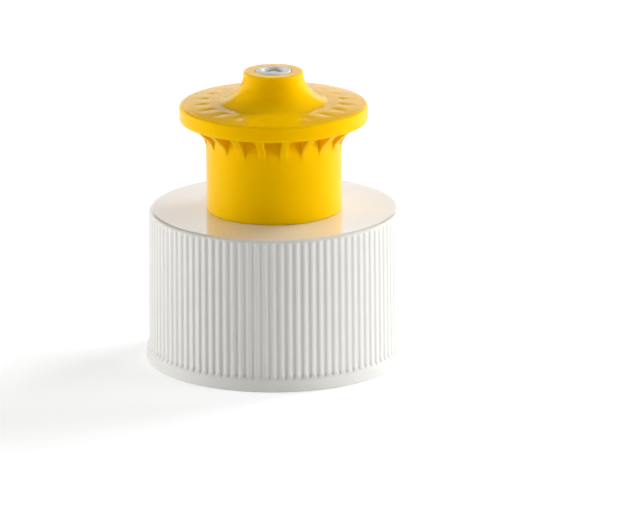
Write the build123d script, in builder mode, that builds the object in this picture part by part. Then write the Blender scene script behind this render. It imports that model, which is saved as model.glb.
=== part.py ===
from build123d import *
import os
from math import cos, radians, sin, tan

os.makedirs("parts", exist_ok=True)

# Push-pull cap for a 28 mm continuous-thread bottle neck, in millimetres.
# Frame: +Z up along the cap's axis, origin at the centre of the mouth rim, which stands on z = 0.
# The spout is pushed down, so the cap is closed. It pulls straight up by TRAVEL to open.

# Whole cap
CAP_HEIGHT = 36.15
TRAVEL = 5.0
RUNNING_CLEARANCE = 0.05

# Skirt, with a smooth band below the grip ribs
BAND_R = 15.85
BAND_TOP_Z = 1.3
BAND_EDGE = 0.15
FLARE_TOP_Z = 2.1
CREST_R = 15.49
SKIRT_DRAFT = 0.5
DECK_Z = 18.85
DECK_THICKNESS = 1.5
DECK_EDGE_R = 0.6

# Grip ribs, which stand between tapered grooves. The grooves run out at the top, through the deck's round edge.
RIB_COUNT = 100
RIB_PHASE = 2.65
GROOVE_WIDTH = 0.5
GROOVE_DEPTH = 0.2
GROOVE_TAPER = 25
GROOVE_FOOT_Z = 1.65
GROOVE_HEAD_Z = 19.8
GROOVE_START_R = 15.72

# Inside of the skirt, sized for a 28 mm neck with 6 threads per inch
WALL_R = 13.95
LEAD_IN_R = 14.15
LEAD_IN_TOP_Z = 2.7
MOUTH_CHAMFER = 0.3
CEILING_FILLET = 0.6
THREAD_PITCH = 25.4 / 6
THREAD_TURNS = 2
THREAD_START_Z = 3.9
THREAD_CREST_R = 12.95
THREAD_CREST_WIDTH = 0.9
THREAD_ROOT_WIDTH = 2.3
THREAD_CREST_FILLET = 0.3
THREAD_EMBED = 0.25

# Plug seal, the ring under the deck that enters the neck
PLUG_OUTER_R = 10.95
PLUG_INNER_R = 9.8
PLUG_HEIGHT = 2.0
PLUG_LIP = 0.35

# Stem that the spout slides on
STEM_R = 7.15
STEM_BORE_R = 6.3
STEM_TOP_Z = 29.8
STEM_TOP_CHAMFER = 0.2
STEM_ROOT_FILLET = 0.25
LAND_R = 7.4
LAND_HEIGHT = 1.3

# Bridge of three spokes across the stem, and the pin that it carries
SPOKE_COUNT = 3
SPOKE_WIDTH = 1.6
BRIDGE_FOOT_Z = 26.0
BRIDGE_HEIGHT = 1.8
PIN_ROOT_R = 2.6
PIN_R = 2.15
PIN_NECK_Z = 32.0
PIN_TIP_EDGE = 0.28
DIMPLE_R = 1.45
DIMPLE_EDGE = 0.12
DIMPLE_FLOOR_R = 1.33
DIMPLE_DEPTH = 0.5
GATE_R = 0.45
GATE_HEIGHT = 0.2

# Spout barrel
BARREL_R = 8.3
BARREL_FOOT_Z = 18.95
BARREL_EDGE = 0.12
BEAD_HEIGHT = 0.6
BEAD_RISE = 0.35

# Finger flange with gussets below it
FLANGE_R = 11.5
FLANGE_FOOT_Z = 29.9
FLANGE_TOP_Z = 31.87
FLANGE_CROWN = 0.08
FLANGE_TOP_EDGE = 0.45
FLANGE_FOOT_EDGE = 0.32
GUSSET_COUNT = 20
GUSSET_PHASE = 8
GUSSET_WIDTH = 0.95
GUSSET_FOOT_Z = 26.5
GUSSET_HOLLOW_R = 2.6
GUSSET_SLOPE = 47

# Bell-shaped nozzle
BELL_R = 4.3
BELL_CENTRE_R = 7.88
BELL_TURN = 75
NOZZLE_R = 3.65
NOZZLE_TOP_Z = 36.0
NOZZLE_EDGE = 0.15
ORIFICE_R = 2.2
ORIFICE_LAND = 1.1

# Hollow inside the bell, from the orifice down to the roof of the bore
THROAT_R = 2.8
THROAT_RISE = 0.7
HOLLOW_MID_R = 4.25
HOLLOW_MID_Z = 32.1
HOLLOW_FOOT_R = 7.1
ROOF_Z = 30.9
ROOF_CORNER = 0.3

# Values worked out from the driving dimensions
ceiling_z = DECK_Z - DECK_THICKNESS
crest_top_r = CREST_R - (DECK_Z - FLARE_TOP_Z) * tan(radians(SKIRT_DRAFT))
bore_r = STEM_R + RUNNING_CLEARANCE + (LAND_R - STEM_R)
bead_r = STEM_R + RUNNING_CLEARANCE
bead_foot_z = BARREL_FOOT_Z + BEAD_RISE
bead_top_z = bead_foot_z + BEAD_HEIGHT
bead_step = bore_r - bead_r
land_foot_z = bead_top_z + TRAVEL + 2 * RUNNING_CLEARANCE
land_step = LAND_R - STEM_R
bell_foot_z = FLANGE_TOP_Z + FLANGE_CROWN
bell_head_r = BELL_CENTRE_R - BELL_R * sin(radians(BELL_TURN))
bell_head_z = bell_foot_z + BELL_R * (1 - cos(radians(BELL_TURN)))
throat_z = NOZZLE_TOP_Z - ORIFICE_LAND - THROAT_RISE
hollow_end_r = BARREL_R + GUSSET_HOLLOW_R * (1 - cos(radians(GUSSET_SLOPE)))
hollow_end_z = GUSSET_FOOT_Z + GUSSET_HOLLOW_R * sin(radians(GUSSET_SLOPE))
gusset_reach_r = hollow_end_r + (FLANGE_FOOT_Z - hollow_end_z) * tan(radians(GUSSET_SLOPE))


# Screw base: one moulding with the skirt, thread, deck, plug seal, stem, bridge and pin
with BuildPart() as screw_base:
    # Skirt, deck, plug seal and stem, turned about the axis
    with BuildSketch(Plane.XZ):
        with BuildLine():
            Polyline(
                (LEAD_IN_R + MOUTH_CHAMFER, 0),
                (BAND_R - BAND_EDGE, 0),
                (BAND_R, BAND_EDGE),
                (BAND_R, BAND_TOP_Z),
                (CREST_R, FLARE_TOP_Z),
                (crest_top_r, DECK_Z - DECK_EDGE_R),
            )
            RadiusArc(
                (crest_top_r, DECK_Z - DECK_EDGE_R),
                (crest_top_r - DECK_EDGE_R, DECK_Z),
                -DECK_EDGE_R,
            )
            Line((crest_top_r - DECK_EDGE_R, DECK_Z), (STEM_R + STEM_ROOT_FILLET, DECK_Z))
            RadiusArc(
                (STEM_R + STEM_ROOT_FILLET, DECK_Z),
                (STEM_R, DECK_Z + STEM_ROOT_FILLET),
                STEM_ROOT_FILLET,
            )
            Polyline(
                (STEM_R, DECK_Z + STEM_ROOT_FILLET),
                (STEM_R, land_foot_z),
                (LAND_R, land_foot_z + land_step),
                (LAND_R, land_foot_z + land_step + LAND_HEIGHT),
                (STEM_R, land_foot_z + 2 * land_step + LAND_HEIGHT),
                (STEM_R, STEM_TOP_Z - STEM_TOP_CHAMFER),
                (STEM_R - STEM_TOP_CHAMFER, STEM_TOP_Z),
                (STEM_BORE_R, STEM_TOP_Z),
                (STEM_BORE_R, ceiling_z),
                (PLUG_INNER_R, ceiling_z),
                (PLUG_INNER_R, ceiling_z - PLUG_HEIGHT + PLUG_LIP),
                (PLUG_INNER_R + PLUG_LIP, ceiling_z - PLUG_HEIGHT),
                (PLUG_OUTER_R - PLUG_LIP, ceiling_z - PLUG_HEIGHT),
                (PLUG_OUTER_R, ceiling_z - PLUG_HEIGHT + PLUG_LIP),
                (PLUG_OUTER_R, ceiling_z),
                (WALL_R - CEILING_FILLET, ceiling_z),
            )
            RadiusArc(
                (WALL_R - CEILING_FILLET, ceiling_z),
                (WALL_R, ceiling_z - CEILING_FILLET),
                CEILING_FILLET,
            )
            Polyline(
                (WALL_R, ceiling_z - CEILING_FILLET),
                (WALL_R, LEAD_IN_TOP_Z + LEAD_IN_R - WALL_R),
                (LEAD_IN_R, LEAD_IN_TOP_Z),
                (LEAD_IN_R, MOUTH_CHAMFER),
                (LEAD_IN_R + MOUTH_CHAMFER, 0),
            )
        make_face()
    revolve(axis=Axis.Z)

    # Grip grooves: each is a slot with tapered sides, sunk square to the drafted skirt
    groove_mid_z = (GROOVE_FOOT_Z + GROOVE_HEAD_Z) / 2
    groove_mid_r = GROOVE_START_R - (groove_mid_z - GROOVE_FOOT_Z) * tan(radians(SKIRT_DRAFT))
    groove_cut = GROOVE_START_R - CREST_R + GROOVE_DEPTH
    slot_width = GROOVE_WIDTH + 2 * (GROOVE_START_R - CREST_R) * tan(radians(GROOVE_TAPER))
    groove_plane = Plane(
        origin=(groove_mid_r, 0, groove_mid_z),
        x_dir=(-sin(radians(SKIRT_DRAFT)), 0, cos(radians(SKIRT_DRAFT))),
        z_dir=(cos(radians(SKIRT_DRAFT)), 0, sin(radians(SKIRT_DRAFT))),
    )
    with BuildPart(mode=Mode.PRIVATE) as groove:
        with BuildSketch(groove_plane):
            SlotOverall(GROOVE_HEAD_Z - GROOVE_FOOT_Z, slot_width)
        extrude(amount=-groove_cut, taper=GROOVE_TAPER)
    with PolarLocations(0, RIB_COUNT, start_angle=RIB_PHASE + 180 / RIB_COUNT):
        add(groove.part, mode=Mode.SUBTRACT)

    # Thread: a rounded ridge swept along a helix, with its root sunk into the wall
    thread_path = Helix(
        pitch=THREAD_PITCH,
        height=THREAD_PITCH * THREAD_TURNS,
        radius=WALL_R,
        center=(0, 0, THREAD_START_Z),
    )
    with BuildPart(mode=Mode.PRIVATE) as thread:
        with BuildSketch(Plane(origin=thread_path @ 0, x_dir=(1, 0, 0), z_dir=thread_path % 0)):
            with BuildLine():
                Polyline(
                    (THREAD_EMBED, -THREAD_ROOT_WIDTH / 2),
                    (0, -THREAD_ROOT_WIDTH / 2),
                    (THREAD_CREST_R - WALL_R, -THREAD_CREST_WIDTH / 2),
                    (THREAD_CREST_R - WALL_R, THREAD_CREST_WIDTH / 2),
                    (0, THREAD_ROOT_WIDTH / 2),
                    (THREAD_EMBED, THREAD_ROOT_WIDTH / 2),
                    close=True,
                )
            make_face()
            fillet(vertices().group_by(Axis.X)[0], THREAD_CREST_FILLET)
        sweep(path=thread_path, is_frenet=True)
    add(thread.part)

    # Bridge spokes, which leave three flow windows between the stem and the pin
    with BuildSketch(Plane.XY.offset(BRIDGE_FOOT_Z)):
        with PolarLocations(0, SPOKE_COUNT, start_angle=90):
            Rectangle(
                STEM_BORE_R + (STEM_R - STEM_BORE_R) / 2,
                SPOKE_WIDTH,
                align=(Align.MIN, Align.CENTER),
            )
    extrude(amount=BRIDGE_HEIGHT)

    # Pin, whose tip closes the orifice and stands a little proud of the nozzle, with a dish in its end
    with BuildSketch(Plane.XZ):
        with BuildLine():
            Polyline(
                (0, BRIDGE_FOOT_Z),
                (PIN_ROOT_R, BRIDGE_FOOT_Z),
                (PIN_ROOT_R, BRIDGE_FOOT_Z + BRIDGE_HEIGHT),
                (PIN_R, PIN_NECK_Z),
                (PIN_R, CAP_HEIGHT - PIN_TIP_EDGE),
            )
            RadiusArc(
                (PIN_R, CAP_HEIGHT - PIN_TIP_EDGE),
                (PIN_R - PIN_TIP_EDGE, CAP_HEIGHT),
                -PIN_TIP_EDGE,
            )
            Line((PIN_R - PIN_TIP_EDGE, CAP_HEIGHT), (DIMPLE_R + DIMPLE_EDGE, CAP_HEIGHT))
            RadiusArc(
                (DIMPLE_R + DIMPLE_EDGE, CAP_HEIGHT),
                (DIMPLE_R, CAP_HEIGHT - DIMPLE_EDGE),
                -DIMPLE_EDGE,
            )
            Polyline(
                (DIMPLE_R, CAP_HEIGHT - DIMPLE_EDGE),
                (DIMPLE_FLOOR_R, CAP_HEIGHT - DIMPLE_DEPTH),
                (GATE_R, CAP_HEIGHT - DIMPLE_DEPTH),
                (GATE_R, CAP_HEIGHT - DIMPLE_DEPTH + GATE_HEIGHT),
                (0, CAP_HEIGHT - DIMPLE_DEPTH + GATE_HEIGHT),
                (0, BRIDGE_FOOT_Z),
            )
        make_face()
    revolve(axis=Axis.Z)

screw_base.part.label = "screw_base"
export_step(screw_base.part, "parts/screw_base.step")


# Push-pull spout: one moulding with the barrel, inner bead, finger flange, gussets and nozzle
with BuildPart() as push_pull_spout:
    # Barrel, flange and nozzle, turned about the axis
    with BuildSketch(Plane.XZ):
        with BuildLine():
            Polyline(
                (bore_r, BARREL_FOOT_Z),
                (BARREL_R - BARREL_EDGE, BARREL_FOOT_Z),
                (BARREL_R, BARREL_FOOT_Z + BARREL_EDGE),
                (BARREL_R, FLANGE_FOOT_Z),
                (FLANGE_R - FLANGE_FOOT_EDGE, FLANGE_FOOT_Z),
            )
            RadiusArc(
                (FLANGE_R - FLANGE_FOOT_EDGE, FLANGE_FOOT_Z),
                (FLANGE_R, FLANGE_FOOT_Z + FLANGE_FOOT_EDGE),
                -FLANGE_FOOT_EDGE,
            )
            Line((FLANGE_R, FLANGE_FOOT_Z + FLANGE_FOOT_EDGE), (FLANGE_R, FLANGE_TOP_Z - FLANGE_TOP_EDGE))
            RadiusArc(
                (FLANGE_R, FLANGE_TOP_Z - FLANGE_TOP_EDGE),
                (FLANGE_R - FLANGE_TOP_EDGE, FLANGE_TOP_Z),
                -FLANGE_TOP_EDGE,
            )
            # Bell, from the flange up to the straight side below the nozzle's edge
            Line((FLANGE_R - FLANGE_TOP_EDGE, FLANGE_TOP_Z), (BELL_CENTRE_R, bell_foot_z))
            RadiusArc((BELL_CENTRE_R, bell_foot_z), (bell_head_r, bell_head_z), BELL_R)
            Line((bell_head_r, bell_head_z), (NOZZLE_R, NOZZLE_TOP_Z - NOZZLE_EDGE))
            RadiusArc(
                (NOZZLE_R, NOZZLE_TOP_Z - NOZZLE_EDGE),
                (NOZZLE_R - NOZZLE_EDGE, NOZZLE_TOP_Z),
                -NOZZLE_EDGE,
            )
            # Orifice, then the hollow inside the bell, the bore and the bead that stops the spout
            Polyline(
                (NOZZLE_R - NOZZLE_EDGE, NOZZLE_TOP_Z),
                (ORIFICE_R, NOZZLE_TOP_Z),
                (ORIFICE_R, NOZZLE_TOP_Z - ORIFICE_LAND),
                (THROAT_R, throat_z),
            )
            ThreePointArc((THROAT_R, throat_z), (HOLLOW_MID_R, HOLLOW_MID_Z), (HOLLOW_FOOT_R, ROOF_Z))
            Polyline(
                (HOLLOW_FOOT_R, ROOF_Z),
                (bore_r, ROOF_Z - ROOF_CORNER),
                (bore_r, bead_top_z + bead_step),
                (bead_r, bead_top_z),
                (bead_r, bead_foot_z),
                (bore_r, bead_foot_z - bead_step),
                (bore_r, BARREL_FOOT_Z),
            )
        make_face()
    revolve(axis=Axis.Z)

    # Gussets: thin webs from the barrel out to the flange's underside, with an edge that starts hollow
    with BuildPart(mode=Mode.PRIVATE) as gusset:
        with BuildSketch(Plane.XZ):
            with BuildLine():
                Polyline(
                    (hollow_end_r, hollow_end_z),
                    (gusset_reach_r, FLANGE_FOOT_Z),
                    (gusset_reach_r, FLANGE_FOOT_Z + FLANGE_FOOT_EDGE),
                    (BARREL_R - BARREL_EDGE, FLANGE_FOOT_Z + FLANGE_FOOT_EDGE),
                    (BARREL_R - BARREL_EDGE, GUSSET_FOOT_Z),
                    (BARREL_R, GUSSET_FOOT_Z),
                )
                RadiusArc(
                    (BARREL_R, GUSSET_FOOT_Z),
                    (hollow_end_r, hollow_end_z),
                    GUSSET_HOLLOW_R,
                )
            make_face()
        extrude(amount=GUSSET_WIDTH / 2, both=True)
    with PolarLocations(0, GUSSET_COUNT, start_angle=GUSSET_PHASE):
        add(gusset.part)

push_pull_spout.part.label = "push_pull_spout"
export_step(push_pull_spout.part, "parts/push_pull_spout.step")
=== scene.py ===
from math import cos, hypot, pi, radians, sin, tan

import bpy
import numpy as np
from mathutils import Matrix, Vector


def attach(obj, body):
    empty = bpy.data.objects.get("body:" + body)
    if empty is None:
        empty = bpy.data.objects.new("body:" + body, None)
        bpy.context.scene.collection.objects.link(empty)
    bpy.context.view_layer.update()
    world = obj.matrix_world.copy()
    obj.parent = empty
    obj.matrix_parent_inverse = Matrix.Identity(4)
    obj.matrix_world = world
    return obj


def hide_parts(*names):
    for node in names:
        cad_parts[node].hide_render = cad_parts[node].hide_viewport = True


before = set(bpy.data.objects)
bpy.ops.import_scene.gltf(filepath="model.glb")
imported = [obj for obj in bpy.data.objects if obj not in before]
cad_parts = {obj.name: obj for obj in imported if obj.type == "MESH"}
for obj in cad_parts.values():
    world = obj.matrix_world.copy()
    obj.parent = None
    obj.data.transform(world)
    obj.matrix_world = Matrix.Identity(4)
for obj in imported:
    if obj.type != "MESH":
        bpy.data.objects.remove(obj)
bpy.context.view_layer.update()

# Skirt of the screw base: the outer wall of a white polypropylene moulding. 100 rounded grip ribs stand
# between shallow grooves, which run out through the deck's round edge. A smooth band runs round the mouth.
# The cap's sizes are in millimetres, and MM turns them to metres.
MM = 0.001
RIB_COUNT = 100
RIB_PHASE = radians(2.65)
DECK_Z = 18.85
DECK_EDGE_R = 0.6
DECK_RIM_WIDTH = 0.75
BAND_R = 15.85
BAND_EDGE = 0.2
BAND_FOOT_WIDTH = 0.5
CREST_R = 15.49
SKIRT_DRAFT = radians(0.5)
WALL_ROWS_Z = (2.5, 10, 17.8, 18.2)
FLARE_FOOT_Z = 1.25
FLARE_TOP_Z = 2.1
FLARE_BLEND = 0.1
FLARE_ROWS = 9
GROOVE_DEPTH = 0.115
GROOVE_HALF_WIDTH = 0.3
GROOVE_FOOT_Z = 1.5
GROOVE_FOOT_BOW = 0.25
GROOVE_RUNOUT = 0.5
# The smallest step between the rows of one stretch of a profile and those of the next
ROW_GAP = 0.05
# The rib's section over half a pitch: distance from the crest in pitches, and how much of the rib is left
RIB_SECTION = [(0, 1), (0.08, 0.985), (0.15, 0.91), (0.21, 0.74), (0.27, 0.44), (0.33, 0.18), (0.4, 0.04),
               (0.5, 0)]


def linear(hex_colour):
    """An sRGB hex colour as the linear red, green and blue that Blender's shaders take."""
    srgb = np.array([int(hex_colour[i:i + 2], 16) for i in (1, 3, 5)]) / 255
    return tuple(np.where(srgb <= 0.04045, srgb / 12.92, ((srgb + 0.055) / 1.055) ** 2.4)) + (1.0,)


def smooth(x, low, high):
    """0 below low, 1 above high, and between them the cubic 3t^2 - 2t^3, which is level at both ends."""
    t = np.clip((x - low) / (high - low), 0, 1)
    return t * t * (3 - 2 * t)


def crest_r(z):
    """The radius of the ribs' crests, which falls with the height over the flare by the mould's draft."""
    return CREST_R - (z - FLARE_TOP_Z) * tan(SKIRT_DRAFT)


def rounded(corners, hold=0.04, steps=6):
    """A profile in (radius, z) through corners (radius, z, rounding).

    Each corner with a rounding becomes an arc tangent to both its runs, with steps spans, and each
    end of the arc gets one more point hold further along the run, so that flat runs shade flat.
    """
    out = []
    last = len(corners) - 1
    for i, (r, z, rounding) in enumerate(corners):
        here = np.array([r, z])
        if rounding == 0 or i in (0, last):
            out.append(here)
            continue
        back = np.array(corners[i - 1][:2]) - here
        ahead = np.array(corners[i + 1][:2]) - here
        back = back / hypot(*back)
        ahead = ahead / hypot(*ahead)
        half = np.arccos(np.clip(back @ ahead, -1, 1)) / 2
        reach = rounding / tan(half)
        middle = here + (back + ahead) / hypot(*(back + ahead)) * rounding / sin(half)
        start = here + back * reach - middle
        end = here + ahead * reach - middle
        sweep = np.linspace(0, 1, steps + 1)[:, None]
        turn = np.arccos(np.clip(start @ end / rounding ** 2, -1, 1))
        arc = (np.sin((1 - sweep) * turn) * start + np.sin(sweep * turn) * end) / sin(turn)
        out.append(here + back * (reach + hold))
        out.extend(middle + arc)
        out.append(here + ahead * (reach + hold))
    return np.array(out)


def round_the_axis(section, pitch, count, phase):
    """Angle, value and distance from the middle for each column of a section repeated round the axis.

    The section gives (distance, value) over half a pitch. It is mirrored to a whole pitch and repeated
    count times, so column angle = phase + (number of the repeat + distance / pitch) turns / count.
    """
    distance, value = np.array(section, float).T
    distance = np.append(distance, pitch - distance[-2:0:-1])
    value = np.append(value, value[-2:0:-1])
    angle = phase + (np.arange(count)[:, None] + distance / pitch).ravel() * 2 * pi / count
    return angle, np.tile(value, count), np.tile(np.minimum(distance, pitch - distance), count)


def turned(radius, z, angle):
    """Points of a surface of revolution: (radius sin a, -radius cos a, z).

    Angle 0 faces -Y and grows towards +X.
    """
    radius, z, angle = np.broadcast_arrays(radius, z, angle)
    return np.stack([radius * np.sin(angle), -radius * np.cos(angle), z], axis=-1)


def ring_quads(first, rows, columns, close_rows=False):
    """Quads between neighbouring rings of a grid whose columns close on themselves."""
    index = first + np.arange(rows * columns).reshape(rows, columns)
    if close_rows:
        index = np.vstack([index, index[:1]])
    low, high = index[:-1], index[1:]
    quads = [low, np.roll(low, -1, 1), np.roll(high, -1, 1), high]
    return np.stack(quads, -1).reshape(-1, 4)


def stitch(fine, coarse, ratio):
    """Triangles that join a ring of fine points to a ring with ratio times fewer points.

    Coarse point j meets fine point ratio * j. The first half of the fine edges between two coarse
    points fans from the first of them, the second half from the next, and one triangle joins both.
    """
    spread = np.append(fine, fine[0])
    step = np.arange(ratio)
    low = spread[np.arange(len(coarse))[:, None] * ratio + step]
    high = spread[np.arange(len(coarse))[:, None] * ratio + step + 1]
    half = (ratio + 1) // 2
    after = np.roll(coarse, -1)
    hub = np.where(step < half, coarse[:, None], after[:, None])
    fans = np.stack([hub, low, high], -1).reshape(-1, 3)
    joins = np.stack([coarse, low[:, half], after], -1)
    return np.vstack([fans, joins])


def new_piece(name, points, quads, triangles=None):
    """A mesh object from points in millimetres, with smooth shading and its faces turned outwards.

    The signed volume, a sixth of the sum of a . (b x c) over the faces, is negative when they point inwards.
    """
    triangles = np.zeros((0, 3), int) if triangles is None else triangles
    corners = np.vstack([quads[:, :3], quads[:, [0, 2, 3]], triangles])
    a, b, c = (points[corners[:, k]] for k in range(3))
    if np.einsum("ij,ij->i", a, np.cross(b, c)).sum() < 0:
        quads, triangles = quads[:, ::-1], triangles[:, ::-1]
    loops = np.concatenate([quads.ravel(), triangles.ravel()])
    starts = np.concatenate([np.arange(len(quads)) * 4, len(quads) * 4 + np.arange(len(triangles)) * 3])
    mesh = bpy.data.meshes.new(name)
    mesh.vertices.add(len(points))
    mesh.vertices.foreach_set("co", (points * MM).ravel())
    mesh.loops.add(len(loops))
    mesh.loops.foreach_set("vertex_index", loops.astype(np.int32))
    mesh.polygons.add(len(starts))
    mesh.polygons.foreach_set("loop_start", starts.astype(np.int32))
    mesh.update(calc_edges=True)
    mesh.polygons.foreach_set("use_smooth", np.ones(len(starts), bool))
    piece = bpy.data.objects.new(name, mesh)
    bpy.context.scene.collection.objects.link(piece)
    return piece


rib_angle, rib_height, rib_side = round_the_axis(RIB_SECTION, 1, RIB_COUNT, RIB_PHASE)
crest_top_r = crest_r(DECK_Z)
band = rounded([
    (BAND_R - BAND_FOOT_WIDTH, 0, 0),
    (BAND_R, 0, BAND_EDGE),
    (BAND_R, FLARE_FOOT_Z - ROW_GAP, 0),
])
flare_z = np.linspace(FLARE_FOOT_Z, FLARE_TOP_Z + FLARE_BLEND + ROW_GAP, FLARE_ROWS)
flare = smooth(flare_z, FLARE_FOOT_Z - FLARE_BLEND, FLARE_TOP_Z + FLARE_BLEND)
flare_r = BAND_R + (CREST_R - BAND_R) * flare
wall_z = np.array(WALL_ROWS_Z)
# The rim's first two points lie on the straight wall, which has its own rows, so they are left out
rim = rounded([
    (crest_top_r, WALL_ROWS_Z[-1], 0),
    (crest_top_r, DECK_Z, DECK_EDGE_R),
    (crest_top_r - DECK_RIM_WIDTH, DECK_Z, 0),
], hold=0.01, steps=8)[2:]
skirt_r = np.concatenate([band[:, 0], flare_r, crest_r(wall_z), rim[:, 0]])
skirt_z = np.concatenate([band[:, 1], flare_z, wall_z, rim[:, 1]])
# Each groove starts with a rounded run-out, which reaches lower at the groove's middle than at its sides
from_middle = np.clip((0.5 - rib_side) / GROOVE_HALF_WIDTH, 0, 1)
groove_foot_z = GROOVE_FOOT_Z + GROOVE_FOOT_BOW * from_middle ** 2
row_z = skirt_z[:, None]
groove_here = smooth(row_z, groove_foot_z, groove_foot_z + GROOVE_RUNOUT)
groove_floor_r = crest_r(row_z) - GROOVE_DEPTH
cut = np.maximum(skirt_r[:, None] - groove_floor_r, 0) * groove_here * (1 - rib_height)
skirt_points = turned(skirt_r[:, None] - cut, row_z, rib_angle)

# Deck, stem, ceiling, plug seal and threaded wall: the rest of the same moulding, turned about the axis.
# The thread for a 28 mm neck is a rounded right-handed ridge with 6 turns to the inch. These smooth surfaces
# have one column for every COARSE columns of the skirt.
COARSE = 7
DECK_ROWS = (0.8, 2.5, 5)
STEM_R = 7.15
STEM_BORE_R = 6.3
STEM_TOP_Z = 29.8
LAND_R = 7.4
LAND_FOOT_Z = 25.0
LAND_HEIGHT = 1.3
CEILING_Z = 17.35
CEILING_FILLET = 0.6
PLUG_OUTER_R = 10.95
PLUG_INNER_R = 9.8
PLUG_FOOT_Z = 15.35
WALL_R = 13.95
LEAD_IN_R = 14.15
LEAD_IN_TOP_Z = 2.7
LEAD_IN_FOOT_Z = 0.45
LIP_R = 14.45
THREAD_PITCH = 25.4 / 6
THREAD_TURNS = 2
THREAD_START_Z = 3.9
THREAD_DEPTH = 1.0
THREAD_CREST_HALF = 0.35
THREAD_ROOT_HALF = 1.2
THREAD_FADE = 0.09
THREAD_WALL_TOP_Z = 14.3
THREAD_WALL_FOOT_Z = 3.2
THREAD_ROWS = 72

land_bevel = LAND_R - STEM_R
inner_profile = rounded([
    *[(crest_top_r - inwards, DECK_Z, 0) for inwards in DECK_ROWS],
    (STEM_R, DECK_Z, 0.25),
    (STEM_R, LAND_FOOT_Z, 0.05),
    (LAND_R, LAND_FOOT_Z + land_bevel, 0.1),
    (LAND_R, LAND_FOOT_Z + land_bevel + LAND_HEIGHT, 0.15),
    (STEM_R, LAND_FOOT_Z + 2 * land_bevel + LAND_HEIGHT, 0.1),
    (STEM_R, STEM_TOP_Z, 0.25),
    (STEM_BORE_R, STEM_TOP_Z, 0.2),
    (STEM_BORE_R, CEILING_Z, 0.45),
    (PLUG_INNER_R, CEILING_Z, 0.3),
    (PLUG_INNER_R, PLUG_FOOT_Z, 0.35),
    (PLUG_OUTER_R, PLUG_FOOT_Z, 0.35),
    (PLUG_OUTER_R, CEILING_Z, 0.3),
    (WALL_R, CEILING_Z, CEILING_FILLET),
    (WALL_R, THREAD_WALL_TOP_Z + 2 * ROW_GAP, 0),
], steps=4)
thread_z = np.linspace(THREAD_WALL_TOP_Z, THREAD_WALL_FOOT_Z, THREAD_ROWS)
mouth_profile = rounded([
    (WALL_R, THREAD_WALL_FOOT_Z - 2 * ROW_GAP, 0),
    (WALL_R, LEAD_IN_TOP_Z + LEAD_IN_R - WALL_R, 0.1),
    (LEAD_IN_R, LEAD_IN_TOP_Z, 0.1),
    (LEAD_IN_R, LEAD_IN_FOOT_Z, 0.3),
    (LIP_R, 0, 0.12),
    (BAND_R - BAND_FOOT_WIDTH - ROW_GAP, 0, 0),
])
inner_r = np.concatenate([inner_profile[:, 0], np.full(len(thread_z), WALL_R), mouth_profile[:, 0]])
inner_z = np.concatenate([inner_profile[:, 1], thread_z, mouth_profile[:, 1]])
inner_angle = rib_angle[::COARSE]
# The ridge follows z = start + turns * pitch. Its height falls smoothly from crest to root with the distance
# from that line, and fades in and out over a part of a turn at both ends.
turn_here = ((inner_angle - pi / 2) % (2 * pi)) / (2 * pi)
thread = np.zeros((len(inner_z), len(inner_angle)))
for k in range(THREAD_TURNS):
    along = turn_here + k
    off_line = np.abs(inner_z[:, None] - THREAD_START_Z - along * THREAD_PITCH)
    fade = smooth(along, 0, THREAD_FADE) * (1 - smooth(along, THREAD_TURNS - THREAD_FADE, THREAD_TURNS))
    ridge = 1 - smooth(off_line, THREAD_CREST_HALF, THREAD_ROOT_HALF)
    thread = np.maximum(thread, THREAD_DEPTH * fade * ridge)
on_wall = np.isclose(inner_r, WALL_R) & (inner_z < CEILING_Z - CEILING_FILLET)
inner_points = turned(inner_r[:, None] - thread * on_wall[:, None], inner_z[:, None], inner_angle)

fine_rows, fine_columns = skirt_points.shape[:2]
coarse_rows, coarse_columns = inner_points.shape[:2]
first_coarse = fine_rows * fine_columns
body_points = np.vstack([skirt_points.reshape(-1, 3), inner_points.reshape(-1, 3)])
body_quads = np.vstack([ring_quads(0, fine_rows, fine_columns),
                        ring_quads(first_coarse, coarse_rows, coarse_columns)])
deck_join = stitch(first_coarse - fine_columns + np.arange(fine_columns),
                   first_coarse + np.arange(coarse_columns), COARSE)
lip_join = stitch(np.arange(fine_columns),
                  len(body_points) - coarse_columns + np.arange(coarse_columns), COARSE)
body_joins = np.vstack([deck_join, lip_join[:, ::-1]])
screw_base = new_piece("screw_base_moulding", body_points, body_quads, body_joins)

# Bridge and pin: three spokes across the stem carry a tapered pin, whose flat tip plugs the spout's orifice.
# They are one moulding with the stem. The tip's dish holds the small round mark of the mould's gate.
SPOKE_COUNT = 3
SPOKE_WIDTH = 1.6
SPOKE_IN_PIN = 1.2
SPOKE_IN_STEM = 0.4
SPOKE_INSET = 0.02
SPOKE_COLUMNS = 32
BRIDGE_FOOT_Z = 26.0
BRIDGE_HEIGHT = 1.8
PIN_ROOT_R = 2.6
PIN_FOOT_WIDTH = 1
PIN_R = 2.15
PIN_NECK_Z = 32.0
PIN_COLUMNS = 96
CAP_HEIGHT = 36.15
DIMPLE_R = 1.45
DIMPLE_DEPTH = 0.5
DIMPLE_DRAFT = 0.12
GATE_R = 0.5
GATE_HEIGHT = 0.22


def capped(name, rings, foot, head):
    """A closed piece from rings of points. The first ring is fanned to the point foot, the last to head."""
    rows, columns = rings.shape[:2]
    points = np.vstack([rings.reshape(-1, 3), [foot, head]])
    first, last = np.arange(columns), (rows - 1) * columns + np.arange(columns)
    under = np.stack([np.full(columns, rows * columns), np.roll(first, -1), first], -1)
    over = np.stack([np.full(columns, rows * columns + 1), last, np.roll(last, -1)], -1)
    return new_piece(name, points, ring_quads(0, rows, columns), np.vstack([under, over]))


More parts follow.
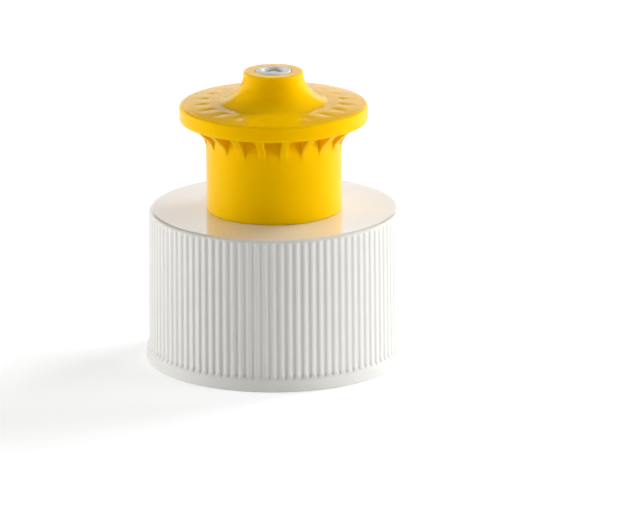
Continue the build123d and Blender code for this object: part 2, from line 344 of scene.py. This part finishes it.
def union(piece, *others):
    """Joins closed pieces to one closed mesh and takes the others away."""
    for other in others:
        step = piece.modifiers.new("join", "BOOLEAN")
        step.operation = "UNION"
        step.solver = "MANIFOLD"
        step.object = other
    graph = bpy.context.evaluated_depsgraph_get()
    whole = bpy.data.meshes.new_from_object(piece.evaluated_get(graph))
    whole.materials.clear()
    piece.modifiers.clear()
    piece.data = whole
    for other in others:
        bpy.data.objects.remove(other)


dimple_floor_z = CAP_HEIGHT - DIMPLE_DEPTH
gate_top_z = dimple_floor_z + GATE_HEIGHT
pin_profile = rounded([
    (PIN_ROOT_R - PIN_FOOT_WIDTH, BRIDGE_FOOT_Z, 0),
    (PIN_ROOT_R, BRIDGE_FOOT_Z, 0.3),
    (PIN_ROOT_R, BRIDGE_FOOT_Z + BRIDGE_HEIGHT, 0.5),
    (PIN_R, PIN_NECK_Z, 0.8),
    (PIN_R, CAP_HEIGHT, 0.28),
    (DIMPLE_R, CAP_HEIGHT, 0.12),
    (DIMPLE_R - DIMPLE_DRAFT, dimple_floor_z, 0.12),
    (GATE_R, dimple_floor_z, 0.05),
    (GATE_R, gate_top_z, 0.08),
    (GATE_R / 2, gate_top_z, 0),
])
pin_angle = np.linspace(0, 2 * pi, PIN_COLUMNS, endpoint=False)
pin_rings = turned(pin_profile[:, :1], pin_profile[:, 1:], pin_angle)
pin = capped("pin", pin_rings, (0, 0, BRIDGE_FOOT_Z), (0, 0, gate_top_z))

# A spoke's section is a superellipse, |x|^6 + |z|^6 = 1, so its edges are rounded
spoke_turn = np.linspace(0, 2 * pi, SPOKE_COLUMNS, endpoint=False)
circle = np.array([np.cos(spoke_turn), np.sin(spoke_turn)])
section = np.sign(circle) * np.abs(circle) ** (1 / 3)
spoke_reach = np.array([PIN_ROOT_R - SPOKE_IN_PIN, STEM_BORE_R + SPOKE_IN_STEM])
upwards = np.array([0, 0, 1])
spokes = []
for k in range(SPOKE_COUNT):
    spoke_angle = pi + k * 2 * pi / SPOKE_COUNT
    outwards = np.array([sin(spoke_angle), -cos(spoke_angle), 0])
    across = np.array([cos(spoke_angle), sin(spoke_angle), 0])
    ends = outwards * spoke_reach[:, None] + upwards * (BRIDGE_FOOT_Z + BRIDGE_HEIGHT / 2)
    rings = (ends[:, None] + across * (section[0] * SPOKE_WIDTH / 2)[:, None]
             + upwards * (section[1] * (BRIDGE_HEIGHT / 2 - SPOKE_INSET))[:, None])
    spokes.append(capped(f"spoke_{k}", rings, ends[0], ends[1]))
union(screw_base, pin, *spokes)

# Polypropylene homopolymer with titanium white, injection moulded: opaque white. The mould's deck face is
# polished, so the deck shines like a mirror, and the ribbed skirt and the inside are duller.
WHITE_LOOK = {
    "Base Color": linear("#DDDCD8"),
    "IOR": 1.49,
    "Coat Roughness": 0.03,
    "Coat IOR": 1.5,
    "Subsurface Weight": 0.25,
    "Subsurface Radius": (1.0, 0.9, 0.8),
    "Subsurface Scale": 0.8 * MM,
}
WHITE_ROUGHNESS = 0.35
DECK_ROUGHNESS = 0.06
DECK_COAT = 0.75
DECK_POLISH_MARGIN = 0.08
# A moulded face is very slightly uneven: low waves about 1.1 mm wide
WAVE_WIDTH = 10 / 9
WAVE_HEIGHT = 0.02


def add_node(tree, kind, links=None, **settings):
    """Adds a node to a tree.

    Settings name its properties, or its inputs by socket name. Links give an input's source socket.
    """
    node = tree.nodes.new(kind)
    for name, value in settings.items():
        if name in node.inputs:
            node.inputs[name].default_value = value
        else:
            setattr(node, name, value)
    for name, source in (links or {}).items():
        tree.links.new(source, node.inputs[name])
    return node


def moulded_plastic(name, look):
    """A plastic with the given socket values and the slight unevenness of a moulded face."""
    material = bpy.data.materials.new(name)
    material.use_nodes = True
    tree = material.node_tree
    shader = tree.nodes["Principled BSDF"]
    for socket, value in look.items():
        shader.inputs[socket].default_value = value
    place = add_node(tree, "ShaderNodeTexCoord")
    waves = add_node(tree, "ShaderNodeTexNoise", {"Vector": place.outputs["Object"]},
                     Scale=1 / (WAVE_WIDTH * MM), Detail=3.0)
    relief = add_node(tree, "ShaderNodeBump", {"Height": waves.outputs["Fac"]},
                      Strength=0.05, Distance=WAVE_HEIGHT * MM)
    tree.links.new(relief.outputs["Normal"], shader.inputs["Normal"])
    return material


white = moulded_plastic("white_moulded_polypropylene", WHITE_LOOK)
tree = white.node_tree
place = add_node(tree, "ShaderNodeTexCoord")
axes = add_node(tree, "ShaderNodeSeparateXYZ", {"Vector": place.outputs["Object"]})
on_deck = add_node(tree, "ShaderNodeMath", {0: axes.outputs["Z"]}, operation="COMPARE")
on_deck.inputs[1].default_value = DECK_Z * MM
on_deck.inputs[2].default_value = DECK_POLISH_MARGIN * MM
DECK_CHANGES = (("Roughness", WHITE_ROUGHNESS, DECK_ROUGHNESS), ("Coat Weight", 0, DECK_COAT))
for socket, elsewhere, there in DECK_CHANGES:
    change = add_node(tree, "ShaderNodeMath", {0: on_deck.outputs[0]}, operation="MULTIPLY_ADD")
    change.inputs[1].default_value = there - elsewhere
    change.inputs[2].default_value = elsewhere
    tree.links.new(change.outputs[0], tree.nodes["Principled BSDF"].inputs[socket])
screw_base.data.materials.append(white)
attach(screw_base, "base")
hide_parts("screw_base")


# Push-pull spout: one yellow polypropylene moulding. Its barrel slides on the stem, and fingers pull it up
# by the round flange, which 20 thin gussets brace from below. The bell above ends in the orifice.
GUSSET_COUNT = 20
GUSSET_PHASE = radians(8)
GUSSET_PITCH = 360 / GUSSET_COUNT
BARREL_R = 8.3
BARREL_FOOT_Z = 18.87
BARREL_ROW_Z = 22
BORE_R = 7.45
BORE_ROW_Z = 26.0
BEAD_R = 7.2
BEAD_FOOT_Z = 19.3
BEAD_TOP_Z = 19.9
ROOF_Z = 30.9
ROOF_CHAMFER = 0.35
FLANGE_R = 11.5
FLANGE_FOOT_Z = 29.9
FLANGE_FOOT_GAP = 0.08
FLANGE_TOP_Z = 31.87
FLANGE_RIM_WIDTH = 0.6
FLANGE_RIM_RISE = 0.04
FLANGE_CROWN = 0.3
FLANGE_TOP_ROWS = 24
CROWN_MARGIN = 0.3
GUSSET_FOOT_Z = 26.5
GUSSET_HOLLOW_R = 2.6
GUSSET_SLOPE = radians(47)
GUSSET_ROWS = 26
GUSSET_ROW_POWER = 0.8
POCKET_FILLET = 1.0
BELL_FOOT_Z = 31.95
BELL_R = 4.3
BELL_CENTRE_R = 7.88
BELL_TURN = radians(75)
BELL_ROWS = 20
NOZZLE_R = 3.65
NOZZLE_Z = 36.0
ORIFICE_R = 2.2
ORIFICE_LAND = 1.1
# The rows next to the crease between flange and bell keep this gap from it, so it shades as a small fillet
CREASE_GAP = 0.12
CREASE_TURN = 0.05
SINK_DEPTH = 0.065
SINK_START_R = 7.7
SINK_DEEPEST_R = 8.3
SINK_END_R = 10.4
SINK_HALF_DEGREES = 6.5
# The hollow inside the bell, from the orifice down to the roof: radius, z and rounding
BELL_HOLLOW = [(2.8, 34.2, 0.3), (3.4, 33.0, 1.0), (4.5, 31.8, 1.5), (BORE_R - ROOF_CHAMFER, ROOF_Z, 0.6)]
# A gusset's section over half a pitch: degrees from its middle, and how far the surface stands out there
GUSSET_SECTION = [(0, 1), (1.2, 1), (2.1, 1), (2.55, 0.985), (2.8, 0.93), (2.93, 0.78), (3.0, 0.12),
                  (3.15, 0.02), (3.5, 0), (5, 0), (7, 0), (9, 0)]

web_angle, web_out, web_side = round_the_axis(GUSSET_SECTION, GUSSET_PITCH, GUSSET_COUNT, GUSSET_PHASE)

# A gusset's edge leaves the barrel as a hollow arc and goes on straight to the flange
web_z = GUSSET_FOOT_Z + (FLANGE_FOOT_Z - GUSSET_FOOT_Z) * np.linspace(0, 1, GUSSET_ROWS) ** GUSSET_ROW_POWER
arc_h = np.minimum(web_z - GUSSET_FOOT_Z, GUSSET_HOLLOW_R * sin(GUSSET_SLOPE))
web_edge_r = (BARREL_R + GUSSET_HOLLOW_R - np.sqrt(GUSSET_HOLLOW_R ** 2 - arc_h ** 2)
              + (web_z - GUSSET_FOOT_Z - arc_h) * tan(GUSSET_SLOPE))
# Between two gussets the surface goes up the barrel and out under the flange, in as many rows
pocket = rounded([
    (BARREL_R, GUSSET_FOOT_Z, 0),
    (BARREL_R, FLANGE_FOOT_Z, POCKET_FILLET),
    (web_edge_r[-1], FLANGE_FOOT_Z, 0),
])
pocket_run = np.append(0, np.cumsum(np.hypot(*np.diff(pocket, axis=0).T)))
pocket_at = np.linspace(0, pocket_run[-1], len(web_z))
pocket_r = np.interp(pocket_at, pocket_run, pocket[:, 0])
pocket_z = np.interp(pocket_at, pocket_run, pocket[:, 1])
under_r = pocket_r[:, None] + (web_edge_r - pocket_r)[:, None] * web_out
under_z = pocket_z[:, None] + (web_z - pocket_z)[:, None] * web_out

# The bell is a hollow arc whose foot stands in the crowned top of the flange, z = rim + crown (1 - t^2)
bell_start = np.arccos(1 - (FLANGE_TOP_Z + FLANGE_CROWN - BELL_FOOT_Z) / BELL_R)
bell_turn = np.linspace(bell_start + CREASE_TURN, BELL_TURN, BELL_ROWS)
bell_r = BELL_CENTRE_R - BELL_R * np.sin(bell_turn)
bell_z = BELL_FOOT_Z + BELL_R * (1 - np.cos(bell_turn))
crown_r = BELL_CENTRE_R - BELL_R * sin(bell_start)
flange_rim = rounded([
    (web_edge_r[-1] + FLANGE_FOOT_GAP, FLANGE_FOOT_Z, 0),
    (FLANGE_R, FLANGE_FOOT_Z, 0.32),
    (FLANGE_R, FLANGE_TOP_Z, 0.45),
    (FLANGE_R - FLANGE_RIM_WIDTH, FLANGE_TOP_Z + FLANGE_RIM_RISE, 0),
])
flange_top_r = np.linspace(FLANGE_R - FLANGE_RIM_WIDTH - ROW_GAP, crown_r + CREASE_GAP, FLANGE_TOP_ROWS)
crown_share = (flange_top_r - crown_r) / (FLANGE_R - CROWN_MARGIN - crown_r)
flange_top_z = FLANGE_TOP_Z + FLANGE_CROWN * (1 - crown_share ** 2)
# From the nozzle's side, which goes on in the bell's last direction, through the inside and up the barrel
nozzle_to_barrel = rounded([
    (bell_r[-1] - 0.03, bell_z[-1] + 0.1, 0),
    (NOZZLE_R, NOZZLE_Z, 0.2),
    (ORIFICE_R, NOZZLE_Z, 0.06),
    (ORIFICE_R, NOZZLE_Z - ORIFICE_LAND, 0.08),
    *BELL_HOLLOW,
    (BORE_R, ROOF_Z - ROOF_CHAMFER, 0.2),
    (BORE_R, BORE_ROW_Z, 0),
    (BORE_R, BEAD_TOP_Z + BORE_R - BEAD_R, 0.1),
    (BEAD_R, BEAD_TOP_Z, 0.1),
    (BEAD_R, BEAD_FOOT_Z, 0.1),
    (BORE_R, BEAD_FOOT_Z - BORE_R + BEAD_R, 0.05),
    (BORE_R, BARREL_FOOT_Z, 0.05),
    (BARREL_R, BARREL_FOOT_Z, 0.05),
    (BARREL_R, BARREL_ROW_Z, 0),
    (BARREL_R, GUSSET_FOOT_Z - 3 * ROW_GAP, 0),
])
top_r = np.concatenate([flange_rim[:, 0], flange_top_r, bell_r, nozzle_to_barrel[:, 0]])
top_z = np.concatenate([flange_rim[:, 1], flange_top_z, bell_z, nozzle_to_barrel[:, 1]])

# Shallow sinks in the flange's top, where the plastic over each gusset shrank. They are deepest near the bell
# and fade outwards, and across a gusset they follow cos^2 of the angle from its middle.
sink_along = smooth(top_r, SINK_START_R, SINK_DEEPEST_R) * (1 - smooth(top_r, SINK_DEEPEST_R, SINK_END_R))
sink = SINK_DEPTH * sink_along * (top_z > FLANGE_TOP_Z)
petal = np.cos(np.clip(web_side / SINK_HALF_DEGREES, 0, 1) * pi / 2) ** 2
top_points = turned(top_r[:, None], top_z[:, None] - sink[:, None] * petal, web_angle)
under_points = turned(under_r, under_z, web_angle)
spout_rings = np.concatenate([under_points, top_points])
spout = new_piece("push_pull_spout_moulding", spout_rings.reshape(-1, 3),
                  ring_quads(0, *spout_rings.shape[:2], close_rows=True))

# Polypropylene coloured with a warm yellow, with the gloss of a polished mould. Light goes a millimetre or so
# into it, which softens the shade between the gussets.
YELLOW_LOOK = {
    "Base Color": linear("#F8C000"),
    "Roughness": 0.13,
    "Specular IOR Level": 0.25,
    "Specular Tint": linear("#FFE400"),
    "IOR": 1.4,
    "Subsurface Weight": 0.5,
    "Subsurface Radius": (1.0, 0.9, 0.2),
    "Subsurface Scale": 1.2 * MM,
}
yellow = moulded_plastic("yellow_moulded_polypropylene", YELLOW_LOOK)
spout.data.materials.append(yellow)
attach(spout, "spout")
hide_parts("push_pull_spout")


# Floor: a plain white sweep. To the camera it adds a strong light of its own, so that it shows as the photo's
# white and still holds the cap's soft shadow. To other rays it adds a weak one, which fills the shade under
# the cap. From here on, sizes are in metres.
FLOOR_HALF = 1.5
WHITE_LIGHT = (1, 1, 1, 1)
GLOW_TO_CAMERA = 0.5
GLOW_TO_CAP = 0.22
floor_mesh = bpy.data.meshes.new("floor")
floor_corners = [(x * FLOOR_HALF, y * FLOOR_HALF, 0) for x, y in ((-1, -1), (1, -1), (1, 1), (-1, 1))]
floor_mesh.from_pydata(floor_corners, [], [(0, 1, 2, 3)])
floor = bpy.data.objects.new("floor", floor_mesh)
bpy.context.scene.collection.objects.link(floor)
sweep = bpy.data.materials.new("white_paper_sweep")
sweep.use_nodes = True
tree = sweep.node_tree
tree.nodes.clear()
paper = add_node(tree, "ShaderNodeBsdfDiffuse", Color=linear("#D8D8D8"))
glow = add_node(tree, "ShaderNodeEmission", Color=WHITE_LIGHT, Strength=GLOW_TO_CAMERA)
fill = add_node(tree, "ShaderNodeEmission", Color=WHITE_LIGHT, Strength=GLOW_TO_CAP)
seen = add_node(tree, "ShaderNodeLightPath")
own = add_node(tree, "ShaderNodeMixShader",
               {0: seen.outputs["Is Camera Ray"], 1: fill.outputs[0], 2: glow.outputs[0]})
both = add_node(tree, "ShaderNodeAddShader", {0: paper.outputs[0], 1: own.outputs[0]})
add_node(tree, "ShaderNodeOutputMaterial", {"Surface": both.outputs[0]})
floor_mesh.materials.append(sweep)

# Studio light: a large softbox on each side and a smaller one behind on the right, in a dim white surround.
# Mirror directions show no softbox but a bright strip above the horizon, as the photo's deck and flange do.
SURROUND_TO_CAP = 0.17
SURROUND_TO_CAMERA = 1.0
SURROUND_IN_MIRRORS = 1.2
# The strip's level by degrees above the horizon
STRIP_LEVELS = ((0, 0.4), (0.5, 0.4), (4, 1.0), (17, 1.0), (21, 0.12), (90, 0.12))
world = bpy.data.worlds.new("white_surround")
world.use_nodes = True
tree = world.node_tree
tree.nodes.clear()
seen = add_node(tree, "ShaderNodeLightPath")
soft = add_node(tree, "ShaderNodeBackground", Color=WHITE_LIGHT, Strength=SURROUND_TO_CAP)
bright = add_node(tree, "ShaderNodeBackground", Color=WHITE_LIGHT, Strength=SURROUND_TO_CAMERA)
aim = add_node(tree, "ShaderNodeTexCoord")
rise = add_node(tree, "ShaderNodeSeparateXYZ", {"Vector": aim.outputs["Generated"]})
strip = add_node(tree, "ShaderNodeValToRGB", {"Fac": rise.outputs["Z"]})
stops = strip.color_ramp.elements
for degrees_up, _ in STRIP_LEVELS[1:-1]:
    stops.new(sin(radians(degrees_up)))
for stop, (_, level) in zip(stops, STRIP_LEVELS):
    stop.color = (level, level, level, 1)
mirrored = add_node(tree, "ShaderNodeBackground", {"Color": strip.outputs["Color"]},
                    Strength=SURROUND_IN_MIRRORS)
to_cap = add_node(tree, "ShaderNodeMixShader",
                  {0: seen.outputs["Is Glossy Ray"], 1: soft.outputs[0], 2: mirrored.outputs[0]})
to_all = add_node(tree, "ShaderNodeMixShader",
                  {0: seen.outputs["Is Camera Ray"], 1: to_cap.outputs[0], 2: bright.outputs[0]})
add_node(tree, "ShaderNodeOutputWorld", {"Surface": to_all.outputs[0]})
bpy.context.scene.world = world

# Each softbox's place, size and power
SOFTBOXES = {
    "softbox_left": ((-0.587, 0, 0.143), (0.4, 0.25), 3.15),
    "softbox_right": ((0.567, -0.152, 0.143), (0.4, 0.25), 3.0),
    "softbox_right_back": ((0.44, 0.35, 0.36), (0.3, 0.3), 3.2),
}
CAP_MIDDLE = Vector((0, 0, 0.018))
for name, (lamp_at, size, power) in SOFTBOXES.items():
    lamp = bpy.data.lights.new(name, "AREA")
    lamp.shape = "RECTANGLE"
    lamp.size, lamp.size_y = size
    lamp.energy = power
    holder = bpy.data.objects.new(name, lamp)
    facing = CAP_MIDDLE - Vector(lamp_at)
    holder.matrix_world = Matrix.Translation(lamp_at) @ facing.to_track_quat("-Z", "Y").to_matrix().to_4x4()
    holder.visible_glossy = False
    bpy.context.scene.collection.objects.link(holder)

# Camera: the photograph's view, fitted to the cap's outlines. ORIGIN_PX is where the foot of the cap's axis
# shows in the 631 x 507 frame, and FOCAL_PX is the focal length in its pixels.
IMAGE_SIZE = (631, 507)
FOCAL_PX = 5679.4
DISTANCE = 0.699
ELEVATION = radians(16.95)
ORIGIN_PX = (275.1, 354.5)
ROLL = radians(-0.25)
SENSOR_MM = 36.0
camera_data = bpy.data.cameras.new("camera")
camera_data.sensor_width = SENSOR_MM
camera_data.lens = FOCAL_PX / IMAGE_SIZE[0] * SENSOR_MM
camera_data.clip_start = 0.01
camera = bpy.data.objects.new("camera", camera_data)
camera_at = Vector((0, -DISTANCE * cos(ELEVATION), DISTANCE * sin(ELEVATION)))
right = Vector((1, 0, 0))
up = Vector((0, sin(ELEVATION), cos(ELEVATION)))
shift_px = Vector((IMAGE_SIZE[0] / 2 - ORIGIN_PX[0], ORIGIN_PX[1] - IMAGE_SIZE[1] / 2))
shift_px = Matrix.Rotation(ROLL, 2) @ shift_px
look = (right * shift_px.x + up * shift_px.y) * (DISTANCE / FOCAL_PX) - camera_at
turn = look.to_track_quat("-Z", "Y").to_matrix().to_4x4() @ Matrix.Rotation(ROLL, 4, "Z")
camera.matrix_world = Matrix.Translation(camera_at) @ turn
bpy.context.scene.collection.objects.link(camera)
bpy.context.scene.camera = camera
bpy.context.scene.view_settings.view_transform = "Standard"
